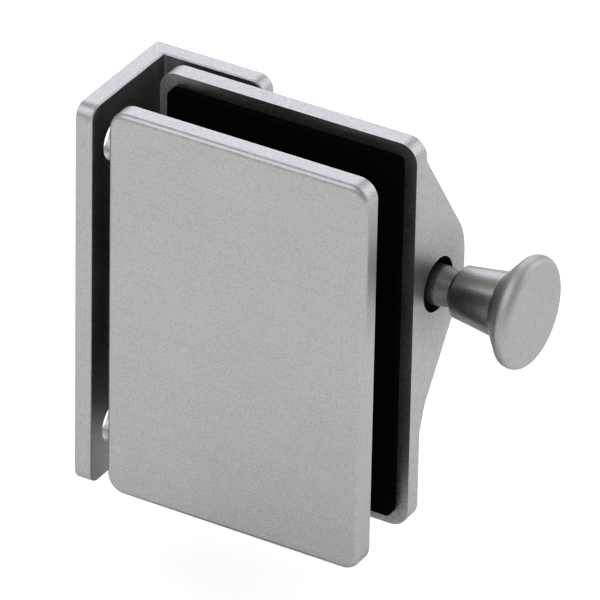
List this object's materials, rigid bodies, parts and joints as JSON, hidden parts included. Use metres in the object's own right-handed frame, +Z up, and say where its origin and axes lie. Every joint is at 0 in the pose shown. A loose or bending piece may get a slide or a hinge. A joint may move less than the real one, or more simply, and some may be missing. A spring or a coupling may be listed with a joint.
{
  "type": "glass to post latch",
  "caption": "Sprung latch between a frameless glass gate and a square post: clamp plates with a bolt hump and pull knob, and an L-shaped striker.",
  "frame": {"origin": "middle of the striker's two post screw holes, on the face that lies on the post", "axes": "+X from the post along the gate, +Y from the front clamp plate to the hump side, +Z up"},
  "size_m": [0.0902, 0.0422, 0.0903],
  "materials": {
    "striker_steel": "satin blasted stainless steel",
    "front_plate_steel": "satin stainless steel, brushed level",
    "latch_body_steel": "satin cast stainless steel",
    "bolt_steel": "turned and ground stainless steel",
    "stem_steel": "turned stainless steel",
    "knob_steel": "turned and satin stainless steel",
    "spring_steel": "drawn spring wire",
    "screw_steel": "plain stainless screw",
    "boss_steel": "turned stainless steel",
    "gasket_rubber": "matt black sheet rubber",
    "sleeve_plastic": "translucent nylon, matt",
    "bush_plastic": "black acetal, matt"
  },
  "bodies": {
    "striker": {"striker_bracket": "striker_steel"},
    "gate_half": {"front_plate": "front_plate_steel", "front_gasket": "gasket_rubber", "latch_body": "latch_body_steel", "rear_gasket": "gasket_rubber", "clamp_boss_upper": "boss_steel", "clamp_boss_lower": "boss_steel", "glass_sleeve_upper": "sleeve_plastic", "glass_sleeve_lower": "sleeve_plastic", "clamp_screw_upper": "screw_steel", "clamp_screw_lower": "screw_steel", "rod_bush": "bush_plastic", "thrust_washer": "screw_steel", "guide_screw": "screw_steel"},
    "bolt": {"latch_bolt": "bolt_steel", "bolt_spring": "spring_steel", "pull_stem": "stem_steel", "pull_knob": "knob_steel", "knob_set_screw": "screw_steel"}
  },
  "joints": [
    {"name": "gate_play", "type": "slide", "parent": "striker", "child": "gate_half", "axis": [0, 1, 0], "range_m": [-0.00035, 0.00325]},
    {"name": "bolt_slide", "type": "slide", "parent": "gate_half", "child": "bolt", "axis": [1, 0, 0], "range_m": [0, 0.012], "stiffness_N_per_m": 800, "springref_m": -0.012, "deforming": ["bolt_spring"]}
  ]
}
